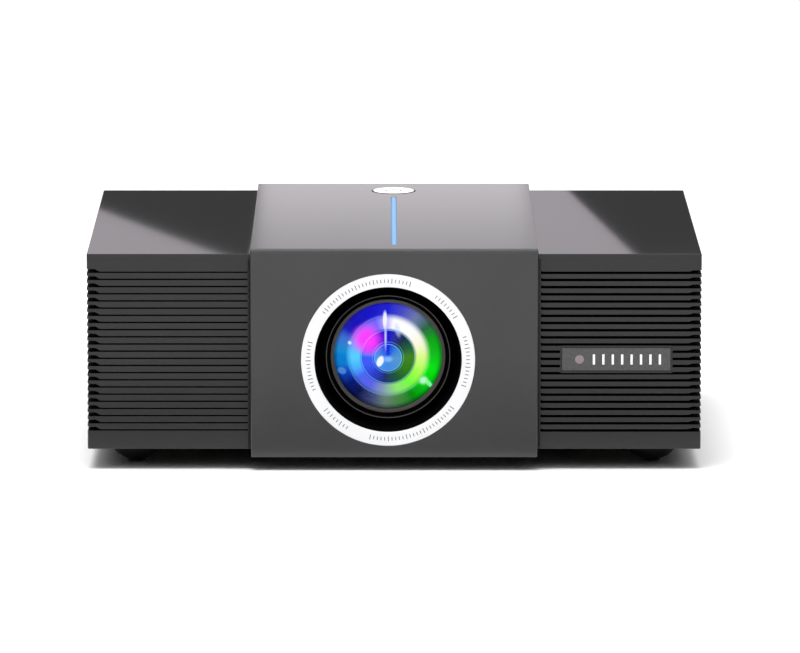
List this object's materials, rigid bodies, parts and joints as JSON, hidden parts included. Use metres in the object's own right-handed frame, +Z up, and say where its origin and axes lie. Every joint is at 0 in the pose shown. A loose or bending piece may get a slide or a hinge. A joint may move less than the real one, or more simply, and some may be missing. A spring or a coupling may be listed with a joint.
{
  "type": "home projector",
  "caption": "Low box-shaped home projector: raised centre band with a round lens, louvred wings, top power button and light bar, motor focus, cooling fans, screw-adjustable front feet.",
  "frame": {"origin": "on the table, under the middle of the object", "axes": "+X to the viewer's right when facing the lens, +Y from the lens to the back, +Z up"},
  "size_m": [0.3, 0.22, 0.1095],
  "materials": {
    "matt_grey_plastic": "fine-grained satin moulding",
    "louvre_plastic": "satin moulding",
    "gloss_lid_plastic": "polished, near mirror gloss",
    "black_plastic": "matt black",
    "white_plastic": "satin white",
    "window_plastic": "infrared-clear window plastic",
    "light_guide_acrylic": "frosted acrylic, lit blue from below",
    "coated_glass": "multi-coated optical glass",
    "mirror_glass": "front-silvered",
    "lcd_glass": "liquid-crystal panel",
    "foot_rubber": "matt moulded rubber",
    "zinc_steel": "zinc-plated",
    "brass": "turned",
    "extruded_aluminium": "as extruded",
    "circuit_board": "solder mask"
  },
  "bodies": {
    "casing": {"band_cover": "matt_grey_plastic", "band_base": "matt_grey_plastic", "left_grille": "louvre_plastic", "right_grille": "louvre_plastic", "left_rear_panel": "louvre_plastic", "right_rear_panel": "louvre_plastic", "left_top_cover": "gloss_lid_plastic", "right_top_cover": "gloss_lid_plastic", "lower_case": "black_plastic", "lens_shroud": "black_plastic", "lens_mount": "black_plastic", "engine_case": "black_plastic", "engine_lid": "black_plastic", "lamp_tunnel": "black_plastic", "left_fan_frame": "black_plastic", "right_fan_frame": "black_plastic", "left_speaker": "black_plastic", "right_speaker": "black_plastic", "audio_jack": "black_plastic", "mains_inlet": "black_plastic", "lens_trim_ring": "white_plastic", "ir_window": "window_plastic", "light_guide": "light_guide_acrylic", "condenser_lens": "coated_glass", "field_lens": "coated_glass", "fold_mirror": "mirror_glass", "lcd_panel": "lcd_glass", "rear_left_foot": "foot_rubber", "rear_right_foot": "foot_rubber", "case_screw_1": "zinc_steel", "case_screw_2": "zinc_steel", "case_screw_3": "zinc_steel", "case_screw_4": "zinc_steel", "focus_motor": "zinc_steel", "hdmi_socket": "zinc_steel", "usb_socket": "zinc_steel", "tripod_insert": "brass", "heat_sink": "extruded_aluminium", "led_board": "extruded_aluminium", "main_board": "circuit_board", "power_supply_board": "circuit_board", "top_board": "circuit_board", "ir_receiver_board": "circuit_board"},
    "power_button": {"power_button": "white_plastic"},
    "lens_barrel": {"lens_barrel": "black_plastic", "lens_retaining_ring": "black_plastic", "front_lens": "coated_glass", "middle_lens": "coated_glass", "rear_lens": "coated_glass"},
    "focus_ring": {"focus_ring": "white_plastic"},
    "motor_pinion": {"motor_pinion": "brass"},
    "left_fan_rotor": {"left_fan_rotor": "black_plastic"},
    "right_fan_rotor": {"right_fan_rotor": "black_plastic"},
    "front_left_foot_pad": {"front_left_foot_pad": "foot_rubber"},
    "front_left_foot": {"front_left_foot": "black_plastic"},
    "front_right_foot_pad": {"front_right_foot_pad": "foot_rubber"},
    "front_right_foot": {"front_right_foot": "black_plastic"}
  },
  "joints": [
    {"name": "power_button_press", "type": "slide", "parent": "casing", "child": "power_button", "axis": [0, 0, -1], "range_m": [0, 0.0008], "stiffness_N_per_m": 1000, "springref_m": -0.0004},
    {"name": "barrel_slide", "type": "slide", "parent": "casing", "child": "lens_barrel", "axis": [0, -1, 0], "range_m": [-0.004, 0.006]},
    {"name": "focus_turn", "type": "hinge", "parent": "casing", "child": "focus_ring", "pos_m": [-0.003, -0.056, 0.0547], "axis": [0, 1, 0], "range_deg": [-36.2, 54.2]},
    {"name": "pinion_spin", "type": "hinge", "parent": "casing", "child": "motor_pinion", "pos_m": [0.02896, -0.056, 0.08666], "axis": [0, 1, 0], "range_deg": [-271, 181]},
    {"name": "left_fan_spin", "type": "hinge", "parent": "casing", "child": "left_fan_rotor", "pos_m": [-0.137, 0.045, 0.0547], "axis": [1, 0, 0], "continuous": true},
    {"name": "right_fan_spin", "type": "hinge", "parent": "casing", "child": "right_fan_rotor", "pos_m": [0.137, 0.045, 0.0547], "axis": [1, 0, 0], "continuous": true},
    {"name": "front_left_foot_lift", "type": "slide", "parent": "casing", "child": "front_left_foot_pad", "axis": [0, 0, -1], "range_m": [0, 0.012]},
    {"name": "front_left_foot_turn", "type": "hinge", "parent": "front_left_foot_pad", "child": "front_left_foot", "pos_m": [-0.127, -0.0815, 0.005], "axis": [0, 0, -1], "range_deg": [-2, 2882]},
    {"name": "front_right_foot_lift", "type": "slide", "parent": "casing", "child": "front_right_foot_pad", "axis": [0, 0, -1], "range_m": [0, 0.012]},
    {"name": "front_right_foot_turn", "type": "hinge", "parent": "front_right_foot_pad", "child": "front_right_foot", "pos_m": [0.127, -0.0815, 0.005], "axis": [0, 0, -1], "range_deg": [-2, 2882]}
  ],
  "couplings": [
    {"joint": "focus_turn", "follows": "barrel_slide", "rad_per_m": 157.08},
    {"joint": "pinion_spin", "follows": "barrel_slide", "rad_per_m": -785.4},
    {"joint": "front_left_foot_turn", "follows": "front_left_foot_lift", "rad_per_m": 4188.8},
    {"joint": "front_right_foot_turn", "follows": "front_right_foot_lift", "rad_per_m": 4188.8}
  ]
}
